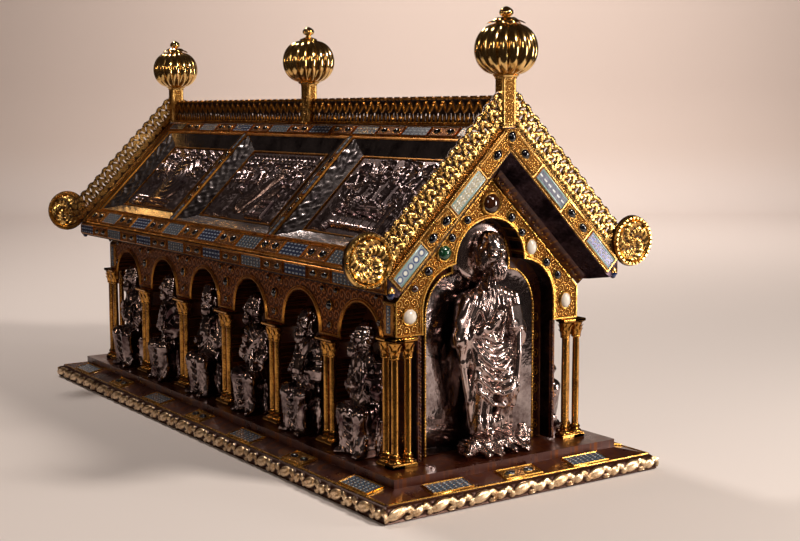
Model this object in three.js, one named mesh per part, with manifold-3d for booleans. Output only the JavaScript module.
// A house-shaped reliquary casket of about 1240: an oak core clad in silver and gilt copper.
// Twelve seated figures sit in two arcades, a standing figure fills each gable niche,
// and the roof, which lifts off as a lid, carries six reliefs, pierced crests and three fluted knobs.
// Millimetres, +Z up. +X runs along the casket to its east gable, and the south side faces -Y.
// The origin is the centre of the underside.
import * as THREE from "three";
import { mergeVertices } from "three/addons/utils/BufferGeometryUtils.js";
import Module from "manifold-3d";

const wasm = await Module();
wasm.setup();

// Clearances
const seatGap = 0.3; // between pieces that rest on or against each other
const bite = 0.6; // how far two forms of one piece run into each other before they are joined

// Plinth and its leaf moulding
const plinthLength = 1050; // the board inside the moulding
const plinthWidth = 419;
const rimHeight = 20; // at the board's edge
const slopeHeight = 27; // where the sloping top meets the step
const stepLength = 984;
const stepWidth = 354;
const floorHeight = 38; // top of the step, on which everything stands
const leafDepth = 10; // how far the moulding stands out of the board
const leafNotch = 3.2; // depth of the hollow between two leaves
const leavesLong = 17;
const leavesShort = 7;

// Oak case inside the arcades
const caseLength = 846;
const caseWidth = 226;
const boardThickness = 16;

// Roof
const roofLength = 974;
const eaveHalfWidth = 182;
const eaveTop = 279;
const fasciaHeight = 21;
const ridgeHeight = 452;
const ridgeHalfWidth = 8; // half of the flat along the ridge
const boardDepth = 32; // thickness of a slope over the inner space, square to it
const vergeDepth = 51; // of its thicker ends, where they meet the gable plates
const bandDepth = 27; // of its end faces, above their splayed undersides
const recessDepth = 13;
const splayAlong = 41; // how far a recess narrows by its floor, at its two ends
const splayAcross = 25; // and at its upper and lower edges
const barWidth = 14; // between two recesses
const barOffset = 160; // from the middle of the roof to a bar
const endBorder = 38; // from the roof's end to the recesses
const upperBorder = 24; // up the slope, from the ridge flat to the recesses
const lowerBorder = 34; // from the recesses down to the eave
const lidRest = 6; // width of the lid's seat on the front of each arcade

// Arcades on the long sides
const bayPitch = 148;
const bayCount = 6;
const arcadeDepth = 32;
const arcadeTop = 252;
const twinAbacusTop = 180;
const archHalfWidth = 48;
const archRise = 51;
const archSpring = 183; // height at which the arches begin

// Gable plates
const plateWidth = 292;
const plateThickness = 25;
const cornerAbacusTop = 199;
const lobeRadius = 55; // the three lobes of a trefoil niche
const nicheCover = 49; // from the top of the niche up to the underside of the roof's ridge
const sideLobeOffset = 50;
const sideLobeDrop = 55; // from the top lobe's centre down to those at the sides

// Columns
const shaftRadius = 4.6;
const baseRadius = 7.4;
const capitalRadius = 8;
const baseHeight = 13;
const capitalHeight = 18;
const abacusHeight = 6;
const footHeight = 6;
const twinSpacing = 15;
const cornerSpacing = 19;
const twinBlockLength = 40;
const abacusLip = 7; // how far an abacus stands out past the shafts' centres
const columnLine = 146; // distance of the long sides' shafts from the middle

// Figures
const seatedHeight = 168;
const figureGap = 0.5; // between a figure and the wall behind it
const nicheHeadroom = 19.7; // from the standing figure's crown up to the top of its niche

// Crests, posts and knobs
const crestHeight = 38;
const crestThickness = 4;
const crestUnits = 6;
const crestNotch = 4; // depth of the notch between two leaves
const crestEdgeInset = 3; // from the roof's end face
const ridgeCrestHeight = 42;
const ridgeCrestThickness = 4;
const ridgeCrestUnits = 10;
const ridgeCrestNotch = 3.5;
const medallionRadius = 34;
const medallionThickness = 9;
const medallionDrop = 3; // the medallion's centre past the eave's corner, along the slope
const postWidth = 20;
const postDepth = 14;
const postHeight = 62.7;
const knobRadius = 39.5;
const knobHeight = 64;
const knobLobes = 12;
const finialHeight = 20;
const finialRadius = 8.5;
const collarHeight = 3; // under the bud
const budNeck = 5; // from the knob up to the bud's narrow neck

// Sizes that follow from those above
const stepTop = floorHeight + seatGap;
const casePlane = caseWidth / 2;
const caseEnd = caseLength / 2;
const roofPitch = (ridgeHeight - eaveTop) / (eaveHalfWidth - ridgeHalfWidth);
const roofAngle = Math.atan(roofPitch);
const slopeLength = Math.hypot(ridgeHeight - eaveTop, eaveHalfWidth - ridgeHalfWidth);
const apexHeight = ridgeHeight + roofPitch * ridgeHalfWidth;
const boardApex = apexHeight - boardDepth / Math.cos(roofAngle);
const vergeApex = apexHeight - vergeDepth / Math.cos(roofAngle);
const bandApex = apexHeight - bandDepth / Math.cos(roofAngle);
const arcadePlane = casePlane + seatGap + arcadeDepth;
const plateInner = caseEnd + seatGap;
const plateOuter = plateInner + plateThickness;
const topLobeHeight = vergeApex - nicheCover - lobeRadius;
const sideLobeHeight = topLobeHeight - sideLobeDrop;
const standingHeight = topLobeHeight + lobeRadius - nicheHeadroom - stepTop;
const cornerColumnX = plateOuter - seatGap;
const cornerColumnY = plateWidth / 2;
const postTop = ridgeHeight + seatGap + postHeight;
const roofSeat = (seatGap * 1.5) / Math.cos(roofAngle); // the lid's clearance over sloping edges

const gold = new THREE.MeshStandardMaterial({ color: 0xc8922e, metalness: 1, roughness: 0.3 });
const darkGold = new THREE.MeshStandardMaterial({ color: 0x8a5a22, metalness: 1, roughness: 0.4 });
const silver = new THREE.MeshStandardMaterial({ color: 0x8d858c, metalness: 1, roughness: 0.22 });
const oak = new THREE.MeshStandardMaterial({ color: 0x5a3a22, metalness: 0, roughness: 0.7 });
const copper = new THREE.MeshStandardMaterial({ color: 0x5e2f1c, metalness: 0.6, roughness: 0.4 });

const point = (x, y, z) => new THREE.Vector3(x, y, z);

// A closed geometry as a manifold solid.
function solidOf(geometry) {
  const bare = (geometry.index ? geometry.toNonIndexed() : geometry).clone();
  bare.deleteAttribute("normal");
  bare.deleteAttribute("uv");
  const merged = mergeVertices(bare, 1e-4);
  return new wasm.Manifold(
    new wasm.Mesh({
      numProp: 3,
      vertProperties: new Float32Array(merged.attributes.position.array),
      triVerts: new Uint32Array(merged.index.array),
    }),
  );
}

// A manifold solid as a geometry with flat shading.
function geometryOf(solid) {
  const mesh = solid.getMesh();
  const positions = new Float32Array(mesh.numVert * 3);
  for (let i = 0; i < mesh.numVert; i++) {
    for (let k = 0; k < 3; k++) positions[3 * i + k] = mesh.vertProperties[mesh.numProp * i + k];
  }
  const geometry = new THREE.BufferGeometry();
  geometry.setAttribute("position", new THREE.BufferAttribute(positions, 3));
  geometry.setIndex(new THREE.BufferAttribute(new Uint32Array(mesh.triVerts), 1));
  const flat = geometry.toNonIndexed();
  flat.computeVertexNormals();
  return flat;
}

function joined(geometries) {
  return geometryOf(geometries.map(solidOf).reduce((a, b) => a.add(b)));
}

function cutBy(geometry, tools) {
  return geometryOf(tools.map(solidOf).reduce((a, b) => a.subtract(b), solidOf(geometry)));
}

// A closed skin over rings of equal length, each counterclockwise seen from the last ring's side.
function loft(rings) {
  const positions = [];
  const triangle = (a, b, c) => positions.push(a.x, a.y, a.z, b.x, b.y, b.z, c.x, c.y, c.z);
  const middle = (ring) =>
    ring.reduce((sum, p) => sum.add(p), point(0, 0, 0)).divideScalar(ring.length);
  rings.slice(1).forEach((upper, k) => {
    const lower = rings[k];
    lower.forEach((a, i) => {
      const j = (i + 1) % lower.length;
      triangle(a, lower[j], upper[j]);
      triangle(a, upper[j], upper[i]);
    });
  });
  const cap = (ring, turned) => {
    const centre = middle(ring);
    ring.forEach((a, i) => {
      const b = ring[(i + 1) % ring.length];
      if (turned) triangle(centre, b, a);
      else triangle(centre, a, b);
    });
  };
  cap(rings[0], true);
  cap(rings[rings.length - 1], false);
  const geometry = new THREE.BufferGeometry();
  geometry.setAttribute("position", new THREE.Float32BufferAttribute(positions, 3));
  geometry.computeVertexNormals();
  return geometry;
}

function box(x0, x1, y0, y1, z0, z1) {
  const geometry = new THREE.BoxGeometry(x1 - x0, y1 - y0, z1 - z0);
  return geometry.translate((x0 + x1) / 2, (y0 + y1) / 2, (z0 + z1) / 2);
}

function rectangle(length, width, z) {
  const [a, b] = [length / 2, width / 2];
  return [point(-a, -b, z), point(a, -b, z), point(a, b, z), point(-a, b, z)];
}

// An outline of [y, z] pairs, run along X.
function prismAlongX(outline, x0, x1) {
  const shape = new THREE.Shape(outline.map(([y, z]) => new THREE.Vector2(y, z)));
  const geometry = new THREE.ExtrudeGeometry(shape, { depth: x1 - x0, bevelEnabled: false });
  return geometry.rotateX(Math.PI / 2).rotateZ(Math.PI / 2).translate(x0, 0, 0);
}

// An outline of [x, z] pairs, run from y0 down to y1.
function prismAlongY(outline, y0, y1) {
  const shape = new THREE.Shape(outline.map(([x, z]) => new THREE.Vector2(x, z)));
  const geometry = new THREE.ExtrudeGeometry(shape, { depth: y0 - y1, bevelEnabled: false });
  return geometry.rotateX(Math.PI / 2).translate(0, y0, 0);
}

// Points of an arc in a plane, ends included, as [u, v] pairs.
function arcPoints(u, v, radius, from, to, steps) {
  return Array.from({ length: steps + 1 }, (_, i) => {
    const angle = from + ((to - from) * i) / steps;
    return [u + radius * Math.cos(angle), v + radius * Math.sin(angle)];
  });
}

const degrees = THREE.MathUtils.degToRad;

// Plinth: a board with a sloping top and one step
function plinthGeometry() {
  return loft([
    rectangle(plinthLength, plinthWidth, 0),
    rectangle(plinthLength, plinthWidth, rimHeight),
    rectangle(stepLength, stepWidth, slopeHeight),
    rectangle(stepLength, stepWidth, floorHeight),
  ]);
}

// The moulding's plan, standing out of the board by depth, with one hollow between two leaves
function leafPlan(depth, z) {
  const inner = rectangle(plinthLength, plinthWidth, z);
  const corner = rectangle(plinthLength + 2 * depth, plinthWidth + 2 * depth, z);
  const counts = [leavesLong, leavesShort, leavesLong, leavesShort];
  return corner.flatMap((from, side) => {
    const to = corner[(side + 1) % corner.length];
    const inward = inner[side].clone().add(inner[(side + 1) % 4]).sub(from).sub(to).normalize();
    const stations = 2 * counts[side];
    return Array.from({ length: stations }, (_, i) => {
      const place = from.clone().lerp(to, i / stations);
      return i % 2 === 0 && i > 0 ? place.addScaledVector(inward, leafNotch) : place;
    });
  });
}

function leafMouldingGeometry() {
  const body = loft([
    leafPlan(leafDepth * 0.62, 0),
    leafPlan(leafDepth, rimHeight * 0.45),
    leafPlan(leafDepth * 0.45, rimHeight),
  ]);
  const [a, b] = [plinthLength / 2 + seatGap, plinthWidth / 2 + seatGap];
  return cutBy(body, [box(-a, a, -b, b, -bite, rimHeight + bite)]);
}

// Case: a floor, two long walls up to the arcades' top and two house-shaped end walls
function caseGeometry() {
  const house = houseOutline(casePlane, stepTop, boardApex - roofSeat);
  const inside = casePlane - boardThickness;
  const end = caseEnd - boardThickness;
  return cutBy(prismAlongX(house, -caseEnd, caseEnd), [
    box(-end, end, -inside, inside, stepTop + boardThickness, apexHeight),
    box(-end, end, -casePlane - bite, casePlane + bite, arcadeTop, apexHeight),
  ]);
}

// A rectangle under a roof of the casket's pitch, as [y, z] pairs
function houseOutline(half, foot, apex) {
  const eave = apex - roofPitch * half;
  return [[-half, foot], [half, foot], [half, eave], [0, apex], [-half, eave]];
}

// One arch from its left foot to its right, as [x, z] pairs above the foot line
function archPoints(centre, footZ, steps) {
  const points = Array.from({ length: steps + 1 }, (_, i) => {
    const angle = Math.PI - (Math.PI * i) / steps;
    const pointed = archRise * Math.sin(angle) ** 0.92;
    return [centre + archHalfWidth * Math.cos(angle), archSpring + pointed];
  });
  return points.filter(([, z]) => z >= footZ);
}

// Arcade of a long side: a deep board with six arches cut up into it
function arcadeGeometry() {
  const foot = twinAbacusTop + seatGap;
  const cornerFoot = cornerAbacusTop + seatGap;
  const half = caseEnd;
  const first = (-(bayCount - 1) / 2) * bayPitch;
  const archSteps = 8;
  const outline = [[-half, arcadeTop], [-half, cornerFoot]];
  for (let bay = 0; bay < bayCount; bay++) {
    const centre = first + bay * bayPitch;
    const [left, right] = [centre - archHalfWidth, centre + archHalfWidth];
    outline.push([left, bay === 0 ? cornerFoot : foot]);
    outline.push(...archPoints(centre, archSpring + 1, archSteps).filter(([x, z]) => {
      const atEnd = (bay === 0 && x < centre) || (bay === bayCount - 1 && x > centre);
      return !atEnd || z > cornerFoot + 1;
    }));
    outline.push([right, bay === bayCount - 1 ? cornerFoot : foot]);
  }
  outline.push([half, cornerFoot], [half, arcadeTop]);
  return prismAlongY(outline, -(casePlane + seatGap), -arcadePlane);
}

// Gable plate: a house-shaped board over a trefoil niche
function gablePlateGeometry() {
  const foot = cornerAbacusTop + seatGap;
  const house = houseOutline(plateWidth / 2, foot, vergeApex - roofSeat);
  const lobeSteps = 7;
  return cutBy(prismAlongX(house, plateInner, plateOuter), [
    prismAlongX(trefoilPoints(stepTop, lobeSteps), plateInner - bite, plateOuter + bite),
  ]);
}

// The trefoil's outline, counterclockwise from its lower right foot
function trefoilPoints(foot, steps) {
  const rise = topLobeHeight - sideLobeHeight;
  const apart = Math.hypot(sideLobeOffset, rise);
  const towards = Math.atan2(rise, -sideLobeOffset);
  const open = Math.acos(apart / 2 / lobeRadius);
  const cusp = towards - open; // on the right side lobe, where the top lobe crosses it
  const rightLobe = arcPoints(sideLobeOffset, sideLobeHeight, lobeRadius, 0, cusp, steps);
  const [cuspY, cuspZ] = rightLobe[rightLobe.length - 1];
  const start = Math.atan2(cuspZ - topLobeHeight, cuspY);
  const topLobe = arcPoints(0, topLobeHeight, lobeRadius, start, Math.PI - start, steps + 3);
  const leftLobe = rightLobe.map(([y, z]) => [-y, z]).reverse();
  const side = sideLobeOffset + lobeRadius;
  return [[side, foot], ...rightLobe, ...topLobe.slice(1, -1), ...leftLobe, [-side, foot]];
}

// One column: moulded base, plain shaft and bell capital
function columnGeometry(x, y, top) {
  const bottom = stepTop + footHeight - bite;
  const neck = top - abacusHeight - capitalHeight;
  const profile = [
    [0, bottom],
    [baseRadius, bottom],
    [shaftRadius, stepTop + footHeight + baseHeight],
    [shaftRadius, neck],
    [capitalRadius, top - abacusHeight + bite],
    [0, top - abacusHeight + bite],
  ];
  const geometry = new THREE.LatheGeometry(profile.map(([r, z]) => new THREE.Vector2(r, z)), 6);
  return geometry.rotateX(Math.PI / 2).rotateY(0).translate(x, y, 0);
}

// Two columns side by side under one abacus, at x, in front of the south side of the case
function twinColumnsGeometry() {
  const [half, back] = [twinBlockLength / 2, -(casePlane + seatGap)];
  const front = -columnLine - abacusLip - baseRadius / 2;
  const top = twinAbacusTop;
  return joined([
    columnGeometry(-twinSpacing / 2, -columnLine, top),
    columnGeometry(twinSpacing / 2, -columnLine, top),
    box(-half, half, front, back, top - abacusHeight, top),
    box(-half, half, front, back, stepTop, stepTop + footHeight),
  ]);
}

// Three columns in an L at the corner of +X and -Y
function cornerColumnsGeometry() {
  const places = [[0, 0], [-cornerSpacing, 0], [0, cornerSpacing]];
  const lip = abacusLip + 2;
  const [x, y, top] = [cornerColumnX, -cornerColumnY, cornerAbacusTop];
  const slabs = [[top - abacusHeight, top], [stepTop, stepTop + footHeight]];
  return joined([
    ...places.map(([dx, dy]) => columnGeometry(x + dx, y + dy, top)),
    ...slabs.flatMap(([z0, z1]) => [
      box(x - cornerSpacing - lip, x + lip, y - lip, y + lip, z0, z1),
      box(x - lip, x + lip, y - lip, y + cornerSpacing + lip, z0, z1),
    ]),
  ]);
}

// A figure's rings. Each row is a height, a half width, a front and a back, all as shares of the
// figure's height, and the depth of the hollow down its middle. The back lies near y = 0.
function figureRings(rows, height, sides, { lean, turn }) {
  return rows.map(([z, half, front, back, hollow]) => {
    const middle = (front + back) / 2;
    const reach = (front - back) / 2;
    const shift = lean * Math.max(0, z - hipShare);
    return Array.from({ length: sides }, (_, i) => {
      const angle = (2 * Math.PI * i) / sides - Math.PI / 2;
      const depth = Math.sign(Math.sin(angle)) * Math.abs(Math.sin(angle)) ** 0.7;
      const face = z > neckShare ? turn * Math.max(0, -depth) : 0;
      const dent = i === 0 ? hollow : 0;
      const x = half * Math.cos(angle) + shift + face;
      return point(x * height, (reach * depth - middle + dent) * height, z * height);
    });
  });
}

const hipShare = 0.45;
const neckShare = 0.79;

const seatedRows = [
  [0, 0.25, 0.36, 0.01, 0.02],
  [0.36, 0.26, 0.35, 0.01, 0.08],
  [0.43, 0.24, 0.31, 0.01, 0.05],
  [0.48, 0.17, 0.18, 0.01, 0],
  [0.72, 0.19, 0.18, 0.01, 0],
  [0.8, 0.06, 0.12, 0.03, 0],
  [0.86, 0.08, 0.18, 0.03, 0],
  [0.95, 0.085, 0.16, 0.025, 0],
  [1, 0.045, 0.12, 0.05, 0],
];

// Both arms in their sleeves, from one shoulder over the hands to the other. The joints are
// places given as shares of the figure's height, with y counted to the front.
function sleevesGeometry(joints, thickness, height) {
  const places = joints.map(([x, y, z]) => point(x * height, -y * height, z * height));
  const path = new THREE.CatmullRomCurve3(places, false, "centripetal");
  const corners = arcPoints(0, 0, thickness * height, 0, 2 * Math.PI, 3).slice(1);
  const section = new THREE.Shape(corners.map(([u, v]) => new THREE.Vector2(u, v)));
  return new THREE.ExtrudeGeometry(section, { steps: 4, extrudePath: path, bevelEnabled: false });
}

// A seated figure of embossed silver on its seat, holding a book on one side
function seatedGeometry({ lean, turn, bookSide }) {
  const h = seatedHeight;
  const body = loft(figureRings(seatedRows, h, 8, { lean, turn }));
  const joints = [[0.15, 0.1, 0.68], [0.22, 0.14, 0.5], [0.06, 0.24, 0.58]];
  joints.push([-0.12, 0.3, 0.48], [-0.23, 0.14, 0.52], [-0.15, 0.1, 0.68]);
  const book = box(-0.05 * h, 0.05 * h, -0.02 * h, 0.015 * h, -0.07 * h, 0.07 * h);
  book.rotateY(degrees(-14)).translate(0.1 * h, -0.26 * h, 0.58 * h);
  const shape = [body, sleevesGeometry(joints, 0.045, h), book].map(solidOf);
  const whole = shape.reduce((a, b) => a.add(b));
  return geometryOf(bookSide > 0 ? whole : whole.mirror([1, 0, 0]));
}

const standingRows = [
  [0.1, 0.19, 0.16, 0.02, 0],
  [0.14, 0.18, 0.15, 0.02, 0.03],
  [0.42, 0.155, 0.15, 0.02, 0.03],
  [0.55, 0.165, 0.16, 0.02, 0],
  [0.69, 0.185, 0.15, 0.02, 0],
  [0.77, 0.13, 0.12, 0.02, 0],
  [0.8, 0.05, 0.1, 0.03, 0],
  [0.85, 0.06, 0.14, 0.02, 0],
  [0.94, 0.065, 0.13, 0.02, 0],
  [0.99, 0.04, 0.09, 0.04, 0],
];

// A standing figure on a crouching beast, with a domed disc behind its head
function standingGeometry() {
  const h = standingHeight;
  const body = loft(figureRings(standingRows, h, 10, { lean: 0, turn: 0 }));
  const beastRows = [[-0.23, 0.05], [-0.2, 0.085], [-0.1, 0.11], [0.08, 0.12], [0.2, 0.07]];
  const beast = loft(
    beastRows.map(([x, top]) => [
      point(x * h, -0.01 * h, 0),
      point(x * h, -0.01 * h, top * h),
      point(x * h, -0.13 * h, top * h),
      point(x * h, -0.19 * h, top * 0.5 * h),
      point(x * h, -0.18 * h, 0),
    ]),
  );
  const disc = new THREE.CylinderGeometry(0.1 * h, 0.105 * h, 0.03 * h, 14);
  disc.rotateY(Math.PI / 14).translate(0, -0.03 * h, 0.9 * h);
  const joints = [[0.14, 0.08, 0.67], [0.19, 0.11, 0.56], [0, 0.19, 0.6]];
  joints.push([-0.19, 0.11, 0.56], [-0.14, 0.08, 0.67]);
  const sword = box(0.075 * h, 0.1 * h, -0.2 * h, -0.12 * h, 0.2 * h, 0.62 * h);
  return joined([body, beast, disc, sleevesGeometry(joints, 0.035, h), sword]);
}

// Roof: two slopes over a hollow, with thicker splayed ends and three recesses in each slope
function roofGeometry() {
  const seat = arcadeTop + seatGap;
  const half = roofLength / 2;
  const right = [
    [arcadePlane + lidRest, seat],
    [eaveHalfWidth, eaveTop - fasciaHeight],
    [eaveHalfWidth, eaveTop],
    [ridgeHalfWidth, ridgeHeight],
  ];
  const left = right.map(([y, z]) => [-y, z]).reverse();
  const body = prismAlongX([...right, ...left], -half, half);
  const inner = houseOutline(arcadePlane - lidRest, seat - bite, boardApex);
  const gable = houseOutline(plateWidth / 2 + seatGap, cornerAbacusTop, vergeApex);
  const plate = plateOuter + seatGap;
  return cutBy(body, [
    prismAlongX(inner, -plateInner, plateInner),
    prismAlongX(gable, plateInner - bite, plate),
    prismAlongX(gable, -plate, bite - plateInner),
    soffitCutter(1, plate - bite, half),
    soffitCutter(-1, plate - bite, half),
    ...recessCutters(),
  ]);
}

// The wedge under a roof end, from the verge's underside at the plate to the end band's
function soffitCutter(side, near, far) {
  const reach = 1; // past the end face
  const rise = (bandApex - vergeApex) / (far - near);
  const ring = (x, apex) => {
    const foot = apex - roofPitch * roofLength;
    const points = [
      point(side * x, -roofLength, foot),
      point(side * x, roofLength, foot),
      point(side * x, 0, apex),
    ];
    return side > 0 ? points : points.reverse();
  };
  return loft([ring(near, vergeApex), ring(far + reach, bandApex + rise * reach)]);
}

// A frame on a slope: its origin at the ridge flat's edge, x along the casket, y down the slope
function slopeMatrix(side) {
  const down = point(0, side * Math.cos(roofAngle), -Math.sin(roofAngle));
  const out = point(0, side * Math.sin(roofAngle), Math.cos(roofAngle));
  const along = down.clone().cross(out);
  return new THREE.Matrix4()
    .makeBasis(along, down, out)
    .setPosition(0, side * ridgeHalfWidth, ridgeHeight);
}

// Each recess's middle and its size at the slope's surface, in the slope's frame
function recesses() {
  const height = slopeLength - upperBorder - lowerBorder;
  const y = upperBorder + height / 2;
  const inner = barOffset - barWidth / 2;
  const outer = [barOffset + barWidth / 2, roofLength / 2 - endBorder];
  const x = (outer[0] + outer[1]) / 2;
  const length = outer[1] - outer[0];
  return [
    { x: -x, y, length, height },
    { x: 0, y, length: 2 * inner, height },
    { x, y, length, height },
  ];
}

function recessCutters() {
  const over = 2; // how far a cutter stands above the slope
  return [-1, 1].flatMap((side) =>
    recesses().map(({ x, y, length, height }) => {
      const ring = (z) => {
        const share = (2 * -z) / recessDepth;
        const corners = rectangle(length - share * splayAlong, height - share * splayAcross, z);
        return corners.map((corner) => corner.add(point(x, y, 0)));
      };
      return loft([ring(-recessDepth), ring(over)]).applyMatrix4(slopeMatrix(side));
    }),
  );
}

// A relief: a thin plate with low ridged figures, in the frame of its recess's floor
function reliefGeometry({ length, height }, figures) {
  const clear = 2 * seatGap;
  const [a, b] = [length / 2 - splayAlong - clear, height / 2 - splayAcross - clear];
  const plateTop = 2.5;
  const bodies = figures.map(({ x, foot, tall, wide }) => {
    const shares = [[0, 1, 6], [0.5, 0.9, 11], [0.74, 0.8, 9], [0.8, 0.3, 6], [1, 0.26, 9]];
    return loft(
      shares.map(([share, width, rise]) => {
        const y = foot - share * tall;
        const half = (wide / 2) * width;
        return [
          point(x + half, y, plateTop - bite),
          point(x, y, rise),
          point(x - half, y, plateTop - bite),
        ];
      }),
    );
  });
  return joined([box(-a, a, -b, b, 0, plateTop), ...bodies]);
}

// Crest of one gable slope: a pierced strip with a lobed upper edge, in the slope's frame
function crestGeometry() {
  const start = postWidth / 2 + seatGap - ridgeHalfWidth;
  const length = slopeLength - start / Math.cos(roofAngle);
  const unit = length / crestUnits;
  const valley = crestHeight - crestNotch;
  const outline = [[0, 0], [length, 0]];
  for (let k = crestUnits - 1; k >= 0; k--) {
    outline.push([(k + 0.95) * unit, valley], [(k + 0.5) * unit, crestHeight], [(k + 0.05) * unit, valley]);
  }
  const shape = new THREE.Shape(outline.map(([x, y]) => new THREE.Vector2(x, y)));
  const eye = [[0, -6], [2.6, 0], [0, 6], [-2.6, 0]];
  for (let k = 0; k < crestUnits; k++) {
    const middle = (k + 0.5) * unit;
    const points = eye.map(([x, y]) => new THREE.Vector2(middle + x, crestHeight * 0.68 + y));
    shape.holes.push(new THREE.Path(points.reverse()));
  }
  return new THREE.ExtrudeGeometry(shape, { depth: crestThickness, bevelEnabled: false });
}

// Crest along half of the ridge: a strip with a lobed upper edge
function ridgeCrestGeometry() {
  const length = roofLength / 2 - crestEdgeInset - postDepth - postWidth / 2 - 2 * seatGap;
  const unit = length / ridgeCrestUnits;
  const outline = [[0, 0], [length, 0]];
  for (let k = ridgeCrestUnits - 1; k >= 0; k--) {
    outline.push([(k + 0.95) * unit, ridgeCrestHeight - ridgeCrestNotch]);
    outline.push([(k + 0.5) * unit, ridgeCrestHeight]);
    outline.push([(k + 0.05) * unit, ridgeCrestHeight - ridgeCrestNotch]);
  }
  return prismAlongY(outline, ridgeCrestThickness / 2, -ridgeCrestThickness / 2);
}

// Medallion at a crest's foot: a dished disc with a raised rim and a boss
function medallionGeometry() {
  const [r, t] = [medallionRadius, medallionThickness];
  const profile = [[0, 0], [r, 0], [r, t * 0.8], [r * 0.84, t * 0.8], [r * 0.78, t * 0.4], [0, t]];
  const geometry = new THREE.LatheGeometry(profile.map(([a, b]) => new THREE.Vector2(a, b)), 12);
  return geometry.rotateX(Math.PI / 2);
}

// Knob: a fluted hollow-looking ball with a bud on top
function knobGeometry() {
  const levels = [[-1, 0.42], [-0.62, 0.82], [0, 1], [0.62, 0.82], [1, 0.34]];
  const ball = loft(
    levels.map(([level, share]) =>
      Array.from({ length: 2 * knobLobes }, (_, i) => {
        const angle = (Math.PI * i) / knobLobes;
        const radius = knobRadius * share * (i % 2 === 0 ? 1 : 0.93);
        return point(radius * Math.cos(angle), radius * Math.sin(angle), (level * knobHeight) / 2);
      }),
    ),
  );
  const foot = knobHeight / 2 - bite;
  const top = knobHeight / 2 + finialHeight;
  const profile = [
    [0, foot],
    [knobRadius * 0.3, foot],
    [knobRadius * 0.3, foot + collarHeight],
    [finialRadius * 0.5, foot + budNeck],
    [finialRadius, top - finialHeight * 0.45],
    [finialRadius * 0.5, top],
    [0, top],
  ];
  const bud = new THREE.LatheGeometry(profile.map(([r, z]) => new THREE.Vector2(r, z)), 6);
  return joined([ball, bud.rotateX(Math.PI / 2)]);
}

// Placing
const casket = new THREE.Group();
casket.name = "reliquary_casket";

function named(name, geometry, material) {
  const mesh = new THREE.Mesh(geometry, material);
  mesh.name = name;
  return mesh;
}

casket.add(named("plinth", plinthGeometry(), copper));
casket.add(named("leaf_moulding", leafMouldingGeometry(), darkGold));
casket.add(named("oak_case", caseGeometry(), oak));
casket.add(named("roof_lid", roofGeometry(), silver));

const poses = [
  { lean: 0.02, turn: 0.03, bookSide: -1 },
  { lean: 0, turn: 0.02, bookSide: 1 },
  { lean: 0.03, turn: -0.03, bookSide: 1 },
  { lean: -0.025, turn: -0.04, bookSide: -1 },
  { lean: 0.02, turn: 0.03, bookSide: 1 },
  { lean: -0.03, turn: -0.03, bookSide: -1 },
];

// The relief figures, by their middle, foot line, height and width
const reliefScenes = [
  [[-70, 62, 104, 40], [-14, 62, 116, 44], [62, 60, 98, 38]],
  [[-80, 62, 104, 40], [-6, 46, 78, 84], [78, 62, 108, 40]],
  [[-66, 62, 98, 40], [0, 46, 66, 70], [66, 60, 108, 40]],
].map((scene) => scene.map(([x, foot, tall, wide]) => ({ x, foot, tall, wide })));

// A long side, built at the south and turned half round for the north
[["south", 0], ["north", Math.PI]].forEach(([side, turn]) => {
  const group = new THREE.Group();
  group.rotation.z = turn;
  group.add(named(`arcade_${side}`, arcadeGeometry(), darkGold));
  for (let pair = 1; pair < bayCount; pair++) {
    const columns = named(`twin_columns_${side}_${pair}`, twinColumnsGeometry(), gold);
    columns.position.x = (pair - bayCount / 2) * bayPitch;
    group.add(columns);
  }
  poses.forEach((pose, bay) => {
    const figure = named(`apostle_${side}_${bay + 1}`, seatedGeometry(pose), silver);
    figure.position.set((bay - (bayCount - 1) / 2) * bayPitch, -(casePlane + figureGap), stepTop);
    group.add(figure);
  });
  const slope = new THREE.Group();
  slope.applyMatrix4(slopeMatrix(-1));
  recesses().forEach((recess, i) => {
    const geometry = reliefGeometry(recess, reliefScenes[i]);
    const relief = named(`roof_relief_${side}_${i + 1}`, geometry, silver);
    relief.position.set(recess.x, recess.y, -recessDepth + seatGap);
    slope.add(relief);
  });
  group.add(slope);
  casket.add(group);
});

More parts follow.
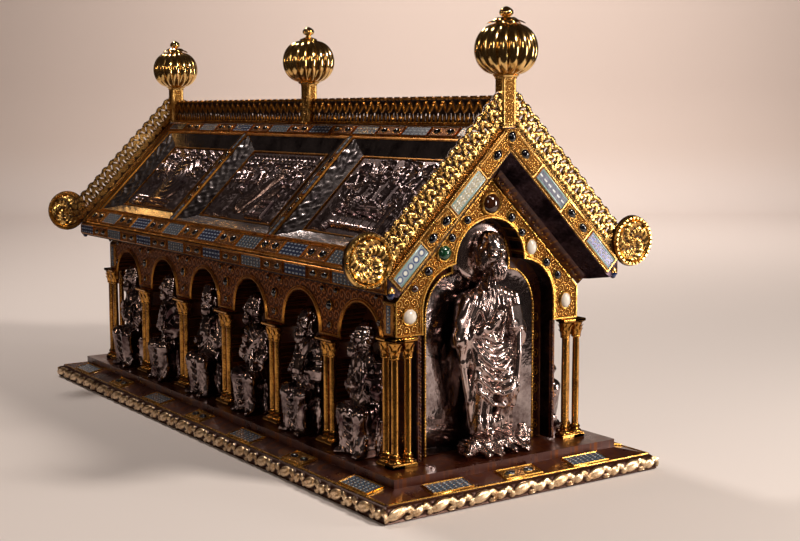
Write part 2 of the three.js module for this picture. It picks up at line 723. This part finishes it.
// An end, built at the east and turned half round for the west
[["east", 0], ["west", Math.PI]].forEach(([end, turn]) => {
  const group = new THREE.Group();
  group.rotation.z = turn;
  group.add(named(`gable_plate_${end}`, gablePlateGeometry(), gold));
  const saint = named(`gable_figure_${end}`, standingGeometry(), silver);
  saint.rotation.z = Math.PI / 2;
  saint.position.set(caseEnd + figureGap, 0, stepTop);
  group.add(saint);
  [["left", 1], ["right", -1]].forEach(([hand, mirrored]) => {
    const corner = named(`corner_columns_${end}_${hand}`, cornerColumnsGeometry(), gold);
    corner.scale.y = mirrored;
    group.add(corner);
    const crest = crestGeometry();
    const start = postWidth / 2 + seatGap;
    const strip = named(`gable_crest_${end}_${hand}`, crest, gold);
    const x = roofLength / 2 - crestEdgeInset;
    const down = point(0, -mirrored * Math.cos(roofAngle), -Math.sin(roofAngle));
    const out = point(0, -mirrored * Math.sin(roofAngle), Math.cos(roofAngle));
    const across = point(-1, 0, 0);
    const place = point(x, -mirrored * start, ridgeHeight - roofPitch * (start - ridgeHalfWidth));
    place.addScaledVector(out, seatGap);
    strip.applyMatrix4(new THREE.Matrix4().makeBasis(down, out, across).setPosition(place));
    group.add(strip);
    const medallion = named(`medallion_${end}_${hand}`, medallionGeometry(), gold);
    const eave = point(x + seatGap, -mirrored * eaveHalfWidth, eaveTop);
    eave.addScaledVector(down, medallionDrop).addScaledVector(out, medallionRadius + seatGap);
    medallion.rotation.y = Math.PI / 2;
    medallion.position.copy(eave);
    group.add(medallion);
  });
  const post = box(-postDepth, 0, -postWidth / 2, postWidth / 2, ridgeHeight + seatGap, postTop);
  const endPost = named(`ridge_post_${end}`, post, gold);
  endPost.position.x = roofLength / 2 - crestEdgeInset;
  group.add(endPost);
  const knob = named(`knob_${end}`, knobGeometry(), gold);
  knob.position.set(endPost.position.x - postDepth / 2, 0, postTop + seatGap + knobHeight / 2);
  group.add(knob);
  const ridgeCrest = named(`ridge_crest_${end}`, ridgeCrestGeometry(), gold);
  ridgeCrest.position.set(postWidth / 2 + seatGap, 0, ridgeHeight + seatGap);
  group.add(ridgeCrest);
  casket.add(group);
});

const middlePost = box(-postWidth / 2, postWidth / 2, -postDepth / 2, postDepth / 2, ridgeHeight + seatGap, postTop);
casket.add(named("ridge_post_middle", middlePost, gold));
const middleKnob = named("knob_middle", knobGeometry(), gold);
middleKnob.position.set(0, 0, postTop + seatGap + knobHeight / 2);
casket.add(middleKnob);

export default casket;
